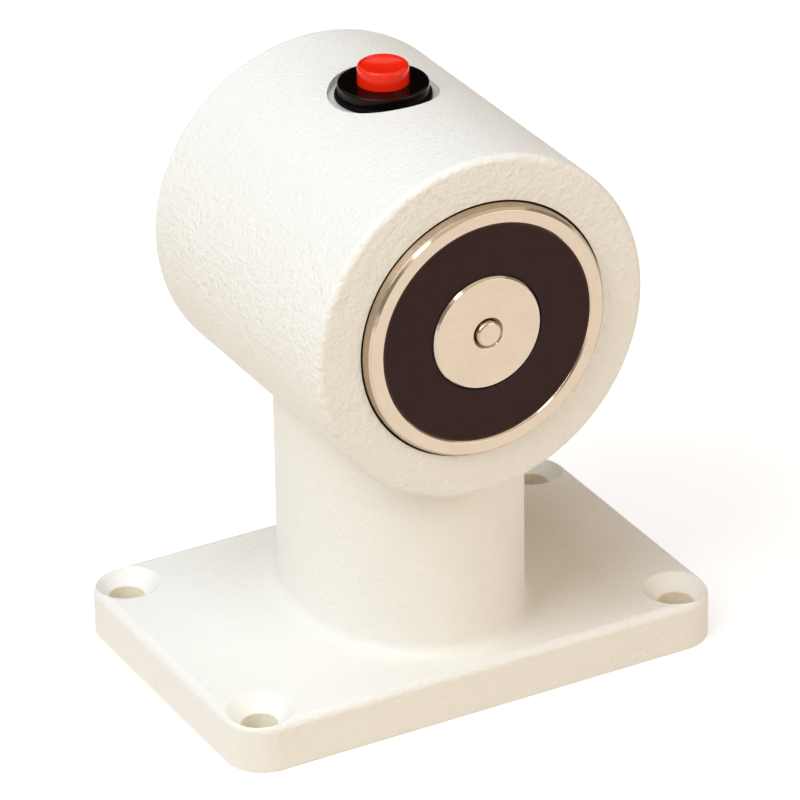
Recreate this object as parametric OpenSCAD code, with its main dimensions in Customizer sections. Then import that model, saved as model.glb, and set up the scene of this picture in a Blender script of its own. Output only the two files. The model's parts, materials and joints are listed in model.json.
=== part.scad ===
// Floor-mounted electromagnetic door holder with a push-button release.
// Lengths are in millimetres. The origin is the centre of the base plate's underside,
// +Z points up, the magnet faces -Y, and +X is to the right when looking at the magnet.

/* [Base plate] */
// Width of the base plate, left to right
plate_w = 103.5; // [96:0.5:130]
// Depth of the base plate, front to back
plate_d = 68.5; // [64:0.5:90]
// Thickness of the base plate
plate_t = 10; // [7:0.5:16]
// Radius of the plate's corners, seen from above
plate_corner_r = 8; // [4:0.5:14]
// Rounding of the plate's top edge
plate_edge_r = 1.5; // [0.5:0.25:3]
// Distance of the fixing holes from the plate's edges
hole_inset = 6.75; // [6:0.25:9]
// Diameter of a fixing hole
hole_d = 6.8; // [4:0.1:9]
// Diameter of a fixing hole's countersink at the top of the plate
countersink_d = 12.6; // [10:0.1:15]

/* [Post] */
// Width of the oval post, left to right
post_w = 44; // [38:1:52]
// Length of the oval post, front to back
post_l = 57; // [50:1:60]
// Wall thickness of the hollow post
post_wall = 5; // [3:0.5:7]
// Fillet where the post stands on the plate
post_fillet_r = 2.5; // [1:0.25:5]

/* [Barrel] */
// Height of the barrel's axis above the floor
axis_h = 79.5; // [72:0.5:110]
// Diameter of the barrel
barrel_d = 68; // [64:1:80]
// Length of the barrel
barrel_l = 65.5; // [60:0.5:80]
// Rounding of the barrel's end edges
barrel_edge_r = 1.2; // [0.5:0.1:3]
// Thickness of the barrel's closed rear wall
rear_wall_t = 5; // [3:0.5:8]
// Diameter of the wiring cavity behind the magnet
cavity_d = 46.4; // [42:0.2:48]
// Diameter of the wire passage from the post up into the barrel
passage_d = 12; // [8:0.5:14]
// Distance of the wire passage behind the middle of the part
passage_y = 14; // [10:0.5:18]
// Thickness of the barrel's crest between the button's pocket and its nut
crest_t = 10.6; // [9.8:0.1:12]

/* [Magnet] */
// Diameter of the magnet
magnet_d = 50; // [48:0.5:54]
// Length of the magnet
magnet_l = 26; // [23:0.5:29]
// How far the pole faces stand out of the barrel
magnet_reach = 2; // [1:0.25:6]
// Width of the outer pole ring
ring_w = 3.5; // [2.5:0.25:5]
// Thickness of the magnet pot's back
pot_back_t = 5; // [4:0.25:7]
// Diameter of the inner pole
core_d = 22.5; // [19:0.5:26]
// Chamfer round the outer pole ring
pole_chamfer = 0.9; // [0.4:0.1:1.4]
// Chamfer round the inner pole's face
core_chamfer = 0.5; // [0.3:0.1:1]
// Depth of the resin below the pole faces
resin_recess = 0.5; // [0.2:0.1:1.5]
// Thickness of the resin over the coil
resin_t = 4; // [2:0.25:6]

/* [Ejector pin] */
// Diameter of the pin
pin_d = 5; // [4:0.25:6]
// Height of the pin's end over the inner pole's face
pin_proud = 0.6; // [0.1:0.1:1]
// Travel of the pin
pin_travel = 1.5; // [0.5:0.25:2.5]
// Length of the bore that guides the pin
pin_guide_l = 6; // [4:0.5:8]

/* [Magnet screw] */
// Thread diameter of the screw that holds the magnet
screw_d = 6; // [5:0.5:7]
// Length of the screw held in the threaded bush
screw_bite = 6.5; // [5:0.5:8]
// Diameter of the screw's head
screw_head_d = 10; // [8:0.5:11]
// Height of the screw's head
screw_head_h = 6; // [4:0.5:7]

/* [Release button] */
// Distance of the button behind the middle of the part
button_y = 3.8; // [1:0.1:6]
// Diameter of the pocket in the barrel's crest
pocket_d = 20.8; // [19:0.1:24]
// Diameter of the bezel
bezel_d = 17.1; // [15:0.1:18]
// Thickness of the bezel
bezel_t = 2; // [1.5:0.1:3]
// Height of the bezel's top over the barrel's crest
bezel_proud = 1.1; // [0.2:0.1:2]
// Diameter of the button's cap
cap_d = 9.7; // [8.5:0.1:10.1]
// Height of the cap over the bezel
cap_proud = 3.5; // [2.5:0.1:5]
// Travel of the button
press_travel = 2; // [1:0.1:2.2]
// Thread diameter of the button's bush
thread_d = 12; // [11.6:0.1:13]
// Diameter of the sealing washer under the bezel
seal_d = 18.2; // [17:0.1:19]
// Thickness of the sealing washer
seal_t = 1; // [0.5:0.1:2]
// Width of the nut across its flats
nut_af = 14; // [14:0.5:15]
// Thickness of the nut
nut_t = 3; // [2:0.25:4]

/* [Terminal board] */
// Width of the board, left to right
board_w = 25; // [23:0.5:27]
// Depth of the board, front to back
board_d = 22; // [21:0.5:24]
// Thickness of the board
board_t = 1.6; // [1:0.2:2.4]
// Length of the bosses that carry the board
boss_l = 10.4; // [8:0.2:14]
// Distance between the board's two screws
board_pitch = 19; // [17:0.5:20]

/* [Hidden] */
$fn = 72;

// Finishes
white_coat = "#f1eee6";
nickel = "#d8cfc2";
dark_resin = "#33231f";
black_plastic = "#141212";
red_plastic = "#ee2a12";
steel = "#b8b8b6";
brass = "#c8a24a";
copper = "#b4672e";
board_green = "#2f6b3c";
rubber = "#1c1c1c";
ivory_plastic = "#e6dfcc";

// Clearances
magnet_gap = 0.25;    // magnet in its bore, all round
seat_fit = 0.02;      // pieces pressed, screwed or glued together
slide_fit = 0.08;     // a moving pin in its guide
loose_fit = 0.3;      // pieces that must not rub
rest_gap = 0.05;      // a moving piece off its stop
cut = 1;              // overrun of a cutting shape past a face

// Barrel and magnet stations
barrel_r = barrel_d / 2;
cavity_r = cavity_d / 2;
magnet_r = magnet_d / 2;
bore_r = magnet_r + magnet_gap;
bore_chamfer = 0.4;
core_r = core_d / 2;
ring_inner_r = magnet_r - ring_w;
front_y = -barrel_l / 2;
rear_y = barrel_l / 2;
face_y = front_y - magnet_reach;
ledge_y = face_y + magnet_l;
crest_z = axis_h + barrel_r;
pot_floor = magnet_l - pot_back_t;
bobbin_front = resin_recess + resin_t;
bobbin_wall = 1;
bobbin_flange_t = 1.2;
bobbin_inner_r = core_r + seat_fit;
bobbin_room = 0.2;
bobbin_flange_r = ring_inner_r - bobbin_room;
winding_step = 0.8;

// Post stations
post_top_z = axis_h - barrel_r / 2;
roof_drop = 1;
roof_z = axis_h - barrel_r - roof_drop;
passage_z = (roof_z + axis_h - cavity_r + passage_d / 2) / 2;

// Inner pole and ejector stations, measured back from the pole faces
pin_r = pin_d / 2;
pin_bore_r = pin_r + slide_fit;
pin_end_r = 0.6;
pin_bore_chamfer = 0.55;
collar_lip = 1.7;
collar_r = pin_r + collar_lip;
collar_t = 2;
chamber_r = collar_r + loose_fit;
spigot_wall = 3.5;
spigot_r = chamber_r + spigot_wall;
bush_spare = 3.5;
bush_l = screw_bite + bush_spare;
bush_front = magnet_l - bush_l;
pin_tail_step = 0.9;
pin_tail_r = pin_r - pin_tail_step;
collar_rear = pin_guide_l + rest_gap + collar_t;
pin_tail_l = magnet_l - screw_bite - collar_rear - pin_travel - loose_fit;
ejector_wire = 0.7;
ejector_spring_room = 0.2;
ejector_turns = 6;

// Magnet screw stations along Y
screw_r = screw_d / 2;
screw_recess = 0.5;
washer_t = 1.2;
washer_lip = 0.5;
washer_r = screw_head_d / 2 + washer_lip;
counterbore_r = washer_r + loose_fit;
head_y = rear_y - screw_recess - screw_head_h;
screw_seat_y = head_y - washer_t;
screw_boss_t = 4;
screw_boss_wall = 3;
screw_boss_r = counterbore_r + screw_boss_wall;
screw_tip_y = ledge_y - screw_bite;

// Release button stations along Z
thread_r = thread_d / 2;
cap_r = cap_d / 2;
bezel_top_z = crest_z + bezel_proud;
bezel_seat_z = bezel_top_z - bezel_t;
pocket_z = bezel_seat_z - seal_t;
nut_r = nut_af / 2 / cos(30);
lock_washer_lip = 0.3;
lock_washer_r = nut_r + lock_washer_lip;
lock_washer_t = 0.7;
nut_seat_room = 0.5;
nut_seat_r = lock_washer_r + nut_seat_room;
nut_seat_z = pocket_z - crest_t;
thread_spare = 1.2;
bush_end_z = nut_seat_z - lock_washer_t - nut_t - thread_spare;
contact_room = 3.5;
spring_floor_t = 2;
spring_floor_z = bush_end_z + contact_room + spring_floor_t;
cap_bore_r = cap_r + slide_fit;
cap_top_z = bezel_top_z + cap_proud;
cap_skirt = 3.9;
cap_base_z = bezel_top_z - cap_skirt;
cap_socket = 3;
stem_r = 2;
stem_guide_r = stem_r + slide_fit;
stem_neck_r = 1.2;
button_wire = 0.6;
button_spring_r = 3.2;
button_turns = 7;

// Switch parts below the bush
lug_x = 4;
lug_t = 0.6;
lug_w = 2.4;
lug_l = 5;
contact_t = 0.6;
contact_z = bush_end_z + contact_room - contact_t;
contact_reach = 2.6;
contact_room_wall = 1.1;
contact_room_r = thread_r - contact_room_wall;
bridge_r = lug_x - lug_t / 2 - loose_fit;
bridge_t = 0.5;
bridge_z = contact_z - rest_gap - bridge_t;
rivet_t = 0.6;
base_floor_t = 3;
base_floor_z = bridge_z - rivet_t - press_travel - loose_fit;
base_z = base_floor_z - base_floor_t;

// Terminal board stations
board_top_z = roof_z - boss_l;
board_z = board_top_z - board_t;
board_y = -3;
boss_r = 3.5;
board_screw_r = 1.5;
board_screw_l = 7;
board_head_r = 2.75;
board_head_h = 2;
pole_pitch = 5.08;
block_end = 0.2;
block_w = 2 * pole_pitch + 2 * block_end;
block_d = 8;
block_h = 10;
block_offset = 6;
block_y = board_y - block_offset;
clamp_w = 3.4;
clamp_d = 4;
clamp_h = 4.6;
clamp_drop = 2;
clamp_top_z = board_z - clamp_drop;
clamp_wire = 2.2;
clamp_screw_r = 1.25;
clamp_head_r = 1.7;
clamp_head_h = 1.6;
clamp_pin_r = 0.5;
clamp_pin_end = 0.6;
diode_offset = 5;
diode_y = board_y + diode_offset;
diode_r = 1.35;
diode_l = 5.2;
diode_leg_r = 0.4;
diode_span = 10;
diode_lift = 0.1;
diode_leg_end = 0.4;

// Wire routes, from the board to the switch, the switch to the coil and the coil to the board
lead_r = 0.7;
lead_steps = 3;
lead_lift = 0.1;
lead_sides = 8;
pad_x = 4;
pad_offset = 9;
pad_y = board_y + pad_offset;
grommet_drop = 16;
grommet_r = 3;
grommet_lip = 1;
grommet_z = axis_h - grommet_drop;
lead_x = 0.85;
coil_start = 1;
coil_y = face_y + pot_floor - coil_start;
solder_x = lug_x + lug_t / 2 + lead_r + seat_fit;
lug_mid_z = base_z - lug_l / 2;
rise_share = 0.3;
pad_rise = boss_l * rise_share;
supply_route = [
    [-pad_x, pad_y, board_top_z + lead_lift], [-pad_x, pad_y, board_top_z + pad_rise],
    [-pad_x, pad_y + 2, board_top_z + 2 * pad_rise], [-3.5, passage_y - 2, roof_z],
    [-3.2, passage_y, passage_z], [-5, passage_y - 1.5, passage_z + 8],
    [-7.5, passage_y - 6, axis_h - 11], [-7.5, button_y + 1.2, axis_h - 4],
    [-solder_x, button_y, lug_mid_z - 7], [-solder_x, button_y, lug_mid_z - 3],
    [-solder_x, button_y, lug_mid_z + 1]
];
link_route = [
    [solder_x, button_y, lug_mid_z + 1], [solder_x, button_y, lug_mid_z - 3],
    [solder_x, button_y, lug_mid_z - 7], [7, button_y - 1.3, axis_h - 4],
    [6, button_y - 4.8, axis_h - 9.5], [2.6, ledge_y + 4.5, grommet_z + 1.5],
    [lead_x, ledge_y + 2, grommet_z], [lead_x, coil_y, grommet_z]
];
return_route = [
    [pad_x, pad_y, board_top_z + lead_lift], [pad_x, pad_y, board_top_z + pad_rise],
    [pad_x, pad_y + 2, board_top_z + 2 * pad_rise], [3.5, passage_y - 2, roof_z],
    [3.2, passage_y, passage_z], [2, passage_y - 4.5, grommet_z - 3.5], [-0.4, 2, grommet_z - 0.4],
    [-lead_x, ledge_y + 2, grommet_z], [-lead_x, coil_y, grommet_z]
];

// Point of a smooth curve through four points, t running from 0 to 1 between the middle two
function curve_point(a, b, c, d, t) =
    0.5 * (2 * b + (c - a) * t + (2 * a - 5 * b + 4 * c - d) * t * t + (3 * b - a - 3 * c + d) * t * t * t);

// Points of a smooth curve through a route, with its first and last points repeated as guides
function smooth_route(route, steps) = let (last = len(route) - 1) concat(
    [for (i = [0:last - 1], s = [0:steps - 1])
        curve_point(route[max(i - 1, 0)], route[i], route[i + 1], route[min(i + 2, last)], s / steps)],
    [route[last]]);

// Points of a closed-end coil spring standing on the XY plane
function coil_points(mean_r, wire, length, turns, per_turn) =
    let (rise = length - wire, end = min(wire * 1.05, rise / turns))
    [for (i = [0:turns * per_turn]) let (
        turn = i / per_turn,
        middle = (rise - 2 * end) / (turns - 2),
        from_top = rise - end * (turns - turn),
        z = turn < 1 ? end * turn : turn > turns - 1 ? from_top : end + middle * (turn - 1))
        [mean_r * cos(360 * turn), mean_r * sin(360 * turn), wire / 2 + z]];

function unit(v) = v / norm(v);

// Round wire swept along points; side is a direction that the wire never runs along
module sweep_wire(points, radius, sides, side) {
    last = len(points) - 1;
    rings = [for (i = [0:last]) let (
        along = unit(points[min(i + 1, last)] - points[max(i - 1, 0)]),
        out = unit(cross(along, side)),
        up = cross(out, along))
        each [for (s = [0:sides - 1])
            points[i] + radius * (cos(360 * s / sides) * out + sin(360 * s / sides) * up)]];
    walls = [for (i = [0:last - 1], s = [0:sides - 1]) let (n = (s + 1) % sides)
        each [[i * sides + s, i * sides + n, (i + 1) * sides + n],
              [i * sides + s, (i + 1) * sides + n, (i + 1) * sides + s]]];
    first_cap = [for (s = [sides - 1:-1:0]) s];
    last_cap = [for (s = [0:sides - 1]) last * sides + s];
    polyhedron(rings, concat([first_cap], walls, [last_cap]), convexity = 4);
}

// Coil spring standing on the XY plane
module coil_spring(mean_r, wire, length, turns) {
    per_turn = 14;
    sides = 8;
    sweep_wire(coil_points(mean_r, wire, length, turns, per_turn), wire / 2, sides, [0, 0, 1]);
}

// Children turned to run back along the barrel's axis from a station
module along_barrel(y) {
    translate([0, y, axis_h]) rotate([-90, 0, 0]) children();
}

// Children set over the button's axis at a height
module at_button(z) {
    translate([0, button_y, z]) children();
}

module ring(outer_r, inner_r, h) {
    difference() {
        cylinder(h = h, r = outer_r);
        translate([0, 0, -cut]) cylinder(h = h + 2 * cut, r = inner_r);
    }
}

// Half section of a slab with its top outer edge rounded
module slab_section(width, height, edge_r) {
    square([width, height - edge_r]);
    square([width - edge_r, height]);
    translate([width - edge_r, height - edge_r]) circle(edge_r);
}

// Plate with every top edge rounded: a disc at each corner and two slabs that cross
module base_plate() {
    straight_x = plate_w - 2 * plate_corner_r;
    straight_y = plate_d - 2 * plate_corner_r;
    for (x = [-1, 1], y = [-1, 1]) translate([x * straight_x / 2, y * straight_y / 2, 0])
        rotate_extrude() slab_section(plate_corner_r, plate_t, plate_edge_r);
    for (half = [0, 180]) rotate([0, 0, half]) {
        translate([0, straight_y / 2, 0]) rotate([90, 0, 0])
            linear_extrude(straight_y) slab_section(plate_w / 2, plate_t, plate_edge_r);
        translate([-straight_x / 2, 0, 0]) rotate([90, 0, 90])
            linear_extrude(straight_x) slab_section(plate_d / 2, plate_t, plate_edge_r);
    }
}

// Oval post with its foot fillet, turned as one round form and stretched front to back
module post() {
    foot_z = plate_t + post_fillet_r;
    foot_r = post_w / 2 + post_fillet_r;
    scale([1, post_l / post_w, 1]) rotate_extrude() {
        square([post_w / 2, post_top_z]);
        difference() {
            square([foot_r, foot_z]);
            translate([foot_r, foot_z]) circle(post_fillet_r);
        }
    }
}

module barrel() {
    along_barrel(front_y) rotate_extrude() {
        translate([0, barrel_l / 2]) slab_section(barrel_r, barrel_l / 2, barrel_edge_r);
        translate([0, barrel_l / 2]) mirror([0, 1]) slab_section(barrel_r, barrel_l / 2, barrel_edge_r);
    }
}

module fixing_holes() {
    cone_h = (countersink_d - hole_d) / 2;
    for (x = [-1, 1], y = [-1, 1])
        translate([x * (plate_w / 2 - hole_inset), y * (plate_d / 2 - hole_inset), 0]) {
        translate([0, 0, -cut]) cylinder(h = plate_t + 2 * cut, d = hole_d);
        translate([0, 0, plate_t - cone_h])
            cylinder(h = cone_h + cut, d1 = hole_d, d2 = countersink_d + 2 * cut);
    }
}

// Wiring cavity behind the magnet, flat on top where the nut seats, round the screw's boss
module barrel_cavity() {
    length = rear_y - rear_wall_t - ledge_y;
    difference() {
        along_barrel(ledge_y - cut) cylinder(h = length + cut, r = cavity_r);
        translate([-cavity_r, ledge_y - 2 * cut, nut_seat_z]) cube([cavity_d, length + 4 * cut, cavity_r]);
        along_barrel(screw_seat_y - screw_boss_t) cylinder(h = rear_y - screw_seat_y, r = screw_boss_r);
    }
}

// Hollow of the post, open at the floor, round the bosses that carry the terminal board
module post_hollow() {
    half_w = post_w / 2 - post_wall;
    half_l = post_l / 2 - post_wall;
    difference() {
        translate([0, 0, -cut]) scale([1, half_l / half_w, 1]) cylinder(h = roof_z + cut, r = half_w);
        at_board_screws(board_top_z) cylinder(h = boss_l + cut, r = boss_r);
    }
}

// Children at the two board screws, at a height
module at_board_screws(z) {
    for (x = [-1, 1]) translate([x * board_pitch / 2, board_y, z]) children();
}

module housing() {
    color(white_coat) difference() {
        union() {
            base_plate();
            post();
            barrel();
        }
        fixing_holes();
        along_barrel(front_y - cut) cylinder(h = ledge_y - front_y + cut, r = bore_r);
        along_barrel(front_y - cut)
            cylinder(h = cut + bore_chamfer, r1 = bore_r + bore_chamfer + cut, r2 = bore_r);
        barrel_cavity();
        along_barrel(screw_seat_y - screw_boss_t - cut)
            cylinder(h = screw_boss_t + 2 * cut, r = screw_r + loose_fit);
        along_barrel(screw_seat_y) cylinder(h = rear_y - screw_seat_y + cut, r = counterbore_r);
        at_button(pocket_z) cylinder(h = crest_z - pocket_z + cut, d = pocket_d);
        at_button(nut_seat_z - cut)
            cylinder(h = pocket_z - nut_seat_z + 2 * cut, r = thread_r + loose_fit / 2);
        at_button(axis_h + cavity_r / 2) cylinder(h = nut_seat_z - axis_h - cavity_r / 2, r = nut_seat_r);
        post_hollow();
        translate([0, passage_y, roof_z - cut])
            cylinder(h = axis_h - cavity_r - roof_z + passage_d / 2, d = passage_d);
        at_board_screws(board_top_z - cut) cylinder(h = board_screw_l + cut, r = board_screw_r + seat_fit);
    }
}

module magnet_pot() {
    edge = 0.5;
    hole_r = spigot_r + seat_fit;
    color(nickel) difference() {
        along_barrel(face_y) rotate_extrude() polygon([
            [ring_inner_r + edge, 0], [magnet_r - pole_chamfer, 0], [magnet_r, pole_chamfer],
            [magnet_r, magnet_l - edge], [magnet_r - edge, magnet_l], [hole_r, magnet_l],
            [hole_r, pot_floor], [ring_inner_r, pot_floor], [ring_inner_r, edge]]);
        at_grommet() cylinder(h = magnet_l, r = grommet_r);
    }
}

// Children on the axis of the lead hole, running back from the pot's inner floor
module at_grommet() {
    translate([0, face_y + pot_floor - cut, grommet_z]) rotate([-90, 0, 0]) children();
}

module pole_core() {
    color(nickel) along_barrel(face_y) rotate_extrude() polygon([
        [pin_bore_r + pin_bore_chamfer, 0], [core_r - core_chamfer, 0], [core_r, core_chamfer],
        [core_r, pot_floor], [spigot_r, pot_floor], [spigot_r, magnet_l],
        [chamber_r, magnet_l], [chamber_r, pin_guide_l], [pin_bore_r, pin_guide_l],
        [pin_bore_r, pin_bore_chamfer]]);
}

module coil_bobbin() {
    color(ivory_plastic) difference() {
        along_barrel(face_y) rotate_extrude() polygon([
            [bobbin_inner_r, bobbin_front], [bobbin_flange_r, bobbin_front],
            [bobbin_flange_r, bobbin_front + bobbin_flange_t],
            [bobbin_inner_r + bobbin_wall, bobbin_front + bobbin_flange_t],
            [bobbin_inner_r + bobbin_wall, pot_floor - bobbin_flange_t],
            [bobbin_flange_r, pot_floor - bobbin_flange_t],
            [bobbin_flange_r, pot_floor], [bobbin_inner_r, pot_floor]]);
        translate([0, coil_y - bobbin_flange_t, grommet_z]) rotate([-90, 0, 0])
            cylinder(h = 2 * bobbin_flange_t + cut, r = grommet_r - grommet_lip);
    }
}

module coil_winding() {
    start = bobbin_front + bobbin_flange_t + seat_fit;
    end = pot_floor - bobbin_flange_t - seat_fit;
    color(copper) along_barrel(face_y + start)
        ring(bobbin_flange_r - winding_step, bobbin_inner_r + bobbin_wall + seat_fit, end - start);
}

module potting_resin() {
    color(dark_resin) along_barrel(face_y + resin_recess)
        ring(ring_inner_r - seat_fit, core_r + seat_fit, resin_t);
}

module lead_grommet() {
    neck = pot_back_t + cut;
    color(rubber) difference() {
        union() {
            at_grommet() translate([0, 0, cut]) cylinder(h = neck, r = grommet_r - seat_fit);
            translate([0, ledge_y, grommet_z]) rotate([-90, 0, 0])
                cylinder(h = grommet_lip, r = grommet_r + grommet_lip);
        }
        at_grommet() cylinder(h = magnet_l, r = grommet_r - grommet_lip);
    }
}

module ejector_pin() {
    length = pin_guide_l + rest_gap + pin_proud;
    color(nickel) along_barrel(face_y - pin_proud) rotate_extrude() {
        translate([0, length]) mirror([0, 1]) slab_section(pin_r, length, pin_end_r);
        translate([0, length]) square([collar_r, collar_t]);
        translate([0, length + collar_t]) square([pin_tail_r, pin_tail_l]);
    }
}

module ejector_spring() {
    mean_r = pin_tail_r + ejector_spring_room + ejector_wire / 2;
    length = bush_front - collar_rear - 2 * rest_gap;
    color(steel) along_barrel(face_y + collar_rear + rest_gap)
        coil_spring(mean_r, ejector_wire, length, ejector_turns);
}

module ejector_bush() {
    color(brass) along_barrel(face_y + bush_front)
        ring(chamber_r - seat_fit, screw_r + seat_fit, bush_l);
}

module magnet_screw() {
    socket_af = screw_d - 1;
    color(steel) difference() {
        union() {
            along_barrel(screw_tip_y) cylinder(h = head_y - screw_tip_y + cut, r = screw_r);
            along_barrel(head_y) cylinder(h = screw_head_h, d = screw_head_d);
        }
        along_barrel(head_y + screw_head_h / 2) cylinder(h = screw_head_h, d = socket_af / cos(30), $fn = 6);
    }
}

module magnet_screw_washer() {
    color(steel) along_barrel(screw_seat_y) ring(washer_r, screw_r + loose_fit / 2, washer_t);
}

module button_bezel() {
    rim_r = 0.5;
    color(black_plastic) difference() {
        union() {
            at_button(bezel_seat_z) rotate_extrude() slab_section(bezel_d / 2, bezel_t, rim_r);
            at_button(bush_end_z) cylinder(h = bezel_seat_z - bush_end_z + bezel_t / 2, r = thread_r);
        }
        at_button(spring_floor_z) cylinder(h = bezel_top_z - spring_floor_z + cut, r = cap_bore_r);
        at_button(bush_end_z - cut) cylinder(h = contact_room + cut, r = contact_room_r);
        at_button(bush_end_z) cylinder(h = bezel_top_z - bush_end_z, r = stem_guide_r);
    }
}

module button_seal() {
    color(rubber) at_button(pocket_z) ring(seal_d / 2, thread_r + seat_fit, seal_t);
}

module button_lock_washer() {
    color(steel) at_button(nut_seat_z - lock_washer_t)
        ring(lock_washer_r, thread_r + loose_fit / 2, lock_washer_t);
}

module button_nut() {
    color(steel) at_button(nut_seat_z - lock_washer_t - nut_t) difference() {
        cylinder(h = nut_t, r = nut_r, $fn = 6);
        translate([0, 0, -cut]) cylinder(h = nut_t + 2 * cut, r = thread_r + seat_fit);
    }
}

// Cap with a rounded rim, a shallow dish on top and a socket for the stem below
module button_cap() {
    rim_r = 0.7;
    dish_depth = 0.7;
    rim_w = 0.8;
    dish_r = cap_r - rim_w;
    dish_sphere_r = (pow(dish_r, 2) + pow(dish_depth, 2)) / (2 * dish_depth);
    color(red_plastic) difference() {
        at_button(cap_base_z) rotate_extrude() slab_section(cap_r, cap_top_z - cap_base_z, rim_r);
        at_button(cap_top_z + dish_sphere_r - dish_depth) sphere(dish_sphere_r);
        at_button(cap_base_z - cut) cylinder(h = cap_socket + cut, r = stem_r + seat_fit);
    }
}

// Stem with a narrow neck for the bridge and a rivet head that keeps it on
module button_plunger() {
    color(ivory_plastic) {
        at_button(bridge_z + bridge_t)
            cylinder(h = cap_base_z + cap_socket - bridge_z - bridge_t, r = stem_r);
        at_button(bridge_z) cylinder(h = bridge_t, r = stem_neck_r);
        at_button(bridge_z - rivet_t) cylinder(h = rivet_t, r = stem_r);
    }
}

module button_spring() {
    length = cap_base_z - spring_floor_z - 2 * rest_gap;
    color(steel) at_button(spring_floor_z + rest_gap)
        coil_spring(button_spring_r, button_wire, length, button_turns);
}

module contact_bridge() {
    color(brass) at_button(bridge_z) ring(bridge_r, stem_neck_r + seat_fit, bridge_t);
}

module switch_base() {
    shoulder = 0.1;
    color(black_plastic) difference() {
        at_button(base_z) cylinder(h = bush_end_z - base_z, r = thread_r - shoulder);
        at_button(base_floor_z) cylinder(h = contact_z - base_floor_z, r = contact_room_r);
        for (side = [-1, 1]) at_button(base_z - cut)
            translate([side * lug_x - lug_t / 2 - seat_fit, -lug_w / 2 - seat_fit, 0])
            cube([lug_t + 2 * seat_fit, lug_w + 2 * seat_fit, base_floor_t + 2 * cut]);
    }
}

// Two terminals: a solder lug below the base and a contact tongue above the bridge
module switch_terminals() {
    lug_top = contact_z + contact_t;
    eye_r = 0.6;
    color(brass) for (side = [0, 180]) at_button(0) rotate([0, 0, side]) difference() {
        union() {
            translate([lug_x - lug_t / 2, -lug_w / 2, base_z - lug_l])
                cube([lug_t, lug_w, lug_top - base_z + lug_l]);
            translate([contact_reach, -lug_w / 2, contact_z])
                cube([lug_x - contact_reach, lug_w, contact_t]);
        }
        translate([lug_x - lug_t, 0, base_z - lug_l + 2 * eye_r]) rotate([0, 90, 0])
            cylinder(h = 2 * lug_t, r = eye_r);
    }
}

module circuit_board() {
    color(board_green) difference() {
        translate([-board_w / 2, board_y - board_d / 2, board_z]) cube([board_w, board_d, board_t]);
        at_board_screws(board_z - cut) cylinder(h = board_t + 2 * cut, r = board_screw_r + loose_fit / 2);
        at_poles(board_z - cut) cylinder(h = board_t + 2 * cut, r = clamp_pin_r + seat_fit);
        at_diode_legs(board_z - cut) cylinder(h = board_t + 2 * cut, r = diode_leg_r + seat_fit);
    }
}

module board_screws() {
    color(steel) at_board_screws(board_z - board_head_h) {
        cylinder(h = board_head_h, r = board_head_r);
        cylinder(h = board_head_h + board_t + board_screw_l - cut, r = board_screw_r);
    }
}

// Children at the two poles of the terminal block, at a height
module at_poles(z) {
    for (side = [-0.5, 0.5]) translate([side * pole_pitch, block_y, z]) children();
}

module terminal_block() {
    step = 2.5;
    slope = 1.2;
    clamp_z = clamp_top_z - clamp_h - seat_fit;
    color(ivory_plastic) difference() {
        translate([-block_w / 2, block_y, board_z]) rotate([90, 0, 90]) linear_extrude(block_w) polygon([
            [-block_d / 2, 0], [block_d / 2, 0],
            [block_d / 2, step - block_h], [block_d / 2 - slope, -block_h],
            [slope - block_d / 2, -block_h], [-block_d / 2, step - block_h]]);
        at_poles(clamp_z) translate([-clamp_w / 2 - seat_fit, -clamp_d / 2 - seat_fit, 0])
            cube([clamp_w + 2 * seat_fit, clamp_d + 2 * seat_fit, clamp_h + 2 * seat_fit]);
        at_poles(clamp_top_z - clamp_h / 2 - clamp_wire / 2)
            translate([-clamp_wire / 2, -block_d, 0]) cube([clamp_wire, block_d, clamp_wire]);
        at_poles(board_z - block_h - cut)
            cylinder(h = clamp_z - board_z + block_h + cut, r = clamp_head_r + loose_fit);
        at_poles(clamp_top_z) cylinder(h = cut + board_z - clamp_top_z, r = clamp_pin_r + seat_fit);
    }
}

// Wire cages with a solder pin up through the board
module terminal_clamps() {
    color(brass) at_poles(clamp_top_z) {
        difference() {
            translate([-clamp_w / 2, -clamp_d / 2, -clamp_h]) cube([clamp_w, clamp_d, clamp_h]);
            translate([-clamp_wire / 2, -clamp_d, -(clamp_h + clamp_wire) / 2])
                cube([clamp_wire, 2 * clamp_d, clamp_wire]);
            translate([0, 0, -clamp_h - cut]) cylinder(h = clamp_h / 2 + cut, r = clamp_screw_r + seat_fit);
        }
        cylinder(h = board_top_z - clamp_top_z + clamp_pin_end, r = clamp_pin_r);
    }
}

module terminal_screws() {
    slot_w = 0.6;
    slot_depth = 0.8;
    shank = 2.2;
    head_z = clamp_top_z - clamp_h - clamp_head_h - seat_fit;
    color(steel) at_poles(head_z) difference() {
        union() {
            cylinder(h = clamp_head_h, r = clamp_head_r);
            cylinder(h = clamp_head_h + shank - cut, r = clamp_screw_r);
        }
        translate([-clamp_head_r, -slot_w / 2, -cut]) cube([2 * clamp_head_r, slot_w, slot_depth + cut]);
    }
}

module at_diode_legs(z) {
    for (side = [-0.5, 0.5]) translate([side * diode_span, diode_y, z]) children();
}

module suppression_diode() {
    axis_z = board_z - diode_r - diode_lift;
    color(black_plastic) {
        translate([-diode_l / 2, diode_y, axis_z]) rotate([0, 90, 0]) cylinder(h = diode_l, r = diode_r);
        translate([-diode_span / 2, diode_y, axis_z]) rotate([0, 90, 0])
            cylinder(h = diode_span, r = diode_leg_r);
        at_diode_legs(axis_z) {
            cylinder(h = board_top_z - axis_z + diode_leg_end, r = diode_leg_r);
            sphere(diode_leg_r);
        }
    }
}

module supply_lead() {
    color(red_plastic) sweep_wire(smooth_route(supply_route, lead_steps), lead_r, lead_sides, [1, 0, 0]);
}

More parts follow.
